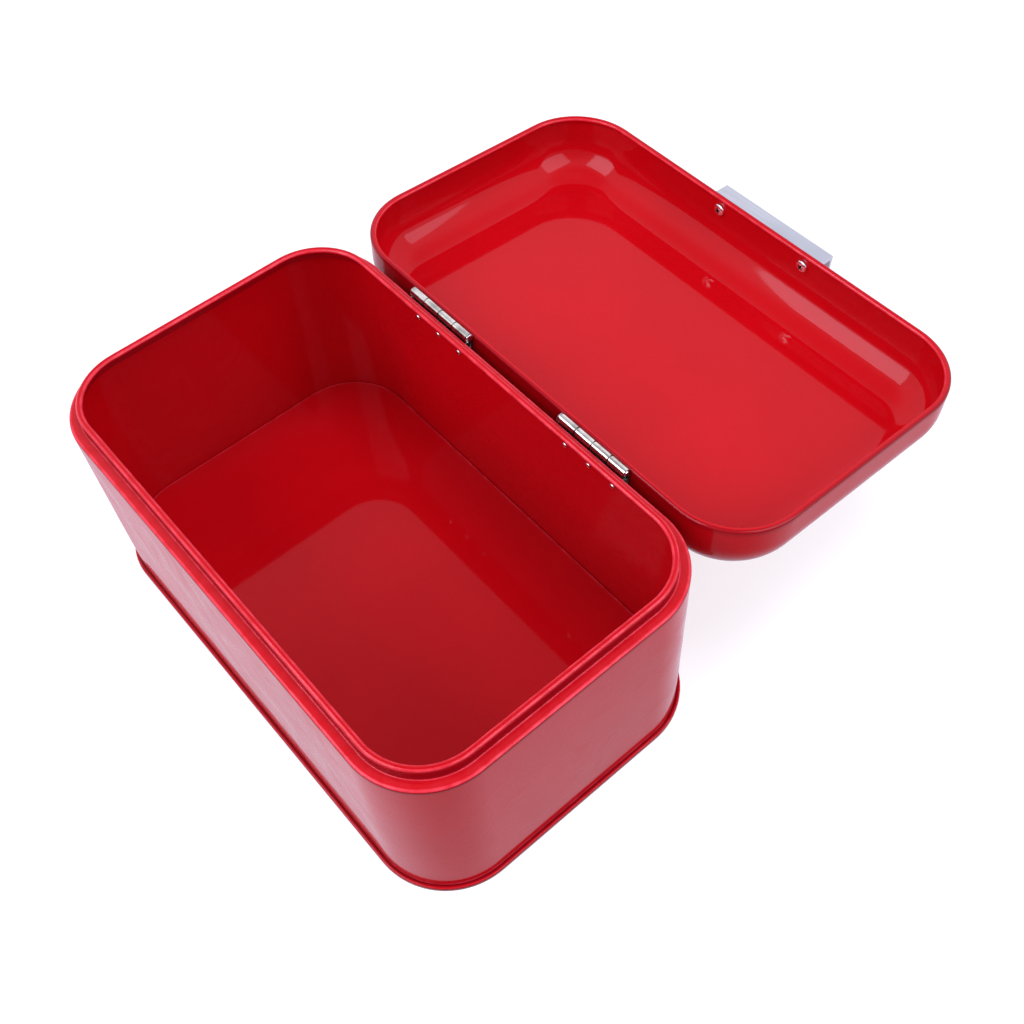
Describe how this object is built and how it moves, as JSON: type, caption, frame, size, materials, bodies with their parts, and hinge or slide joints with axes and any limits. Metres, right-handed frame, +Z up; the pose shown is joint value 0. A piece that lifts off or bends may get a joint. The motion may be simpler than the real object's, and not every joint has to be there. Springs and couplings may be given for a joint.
{
  "type": "metal lunch box",
  "caption": "Rectangular metal food box with rounded corners, a rolled rim and a shallow domed lid that folds right back on rear hinges, with a channel handle on the lid's front.",
  "frame": {"origin": "centre of the open box's footprint, on the surface that it stands on", "axes": "+Z up; +Y from the body towards the opened lid, square to the hinge line; +X along the hinge line, to the right when the body's front is faced"},
  "size_m": [0.3094, 0.387, 0.1271],
  "materials": {
    "red_paint": "high gloss baked enamel on thin steel sheet",
    "hinge_nickel": "nickel plate, slightly dulled, with drawing marks along the barrel",
    "bright_steel": "bright zinc plate",
    "handle_aluminium": "satin anodised, fine grain along the length"
  },
  "bodies": {
    "body": {"body_wall": "red_paint", "bottom_panel": "red_paint", "left_hinge_body_leaf": "hinge_nickel", "left_hinge_pin": "bright_steel", "left_hinge_body_rivet_1": "bright_steel", "left_hinge_body_rivet_2": "bright_steel", "left_hinge_body_rivet_3": "bright_steel", "right_hinge_body_leaf": "hinge_nickel", "right_hinge_pin": "bright_steel", "right_hinge_body_rivet_1": "bright_steel", "right_hinge_body_rivet_2": "bright_steel", "right_hinge_body_rivet_3": "bright_steel"},
    "lid": {"lid_shell": "red_paint", "lid_handle": "handle_aluminium", "handle_screw_left": "bright_steel", "handle_screw_right": "bright_steel", "left_hinge_lid_leaf": "hinge_nickel", "left_hinge_lid_rivet_1": "bright_steel", "left_hinge_lid_rivet_2": "bright_steel", "left_hinge_lid_rivet_3": "bright_steel", "right_hinge_lid_leaf": "hinge_nickel", "right_hinge_lid_rivet_1": "bright_steel", "right_hinge_lid_rivet_2": "bright_steel", "right_hinge_lid_rivet_3": "bright_steel"}
  },
  "joints": [
    {"name": "lid_hinge", "type": "hinge", "parent": "body", "child": "lid", "pos_m": [0, -0.00555, 0.12], "axis": [1, 0, 0], "range_deg": [0, 183.6]}
  ]
}
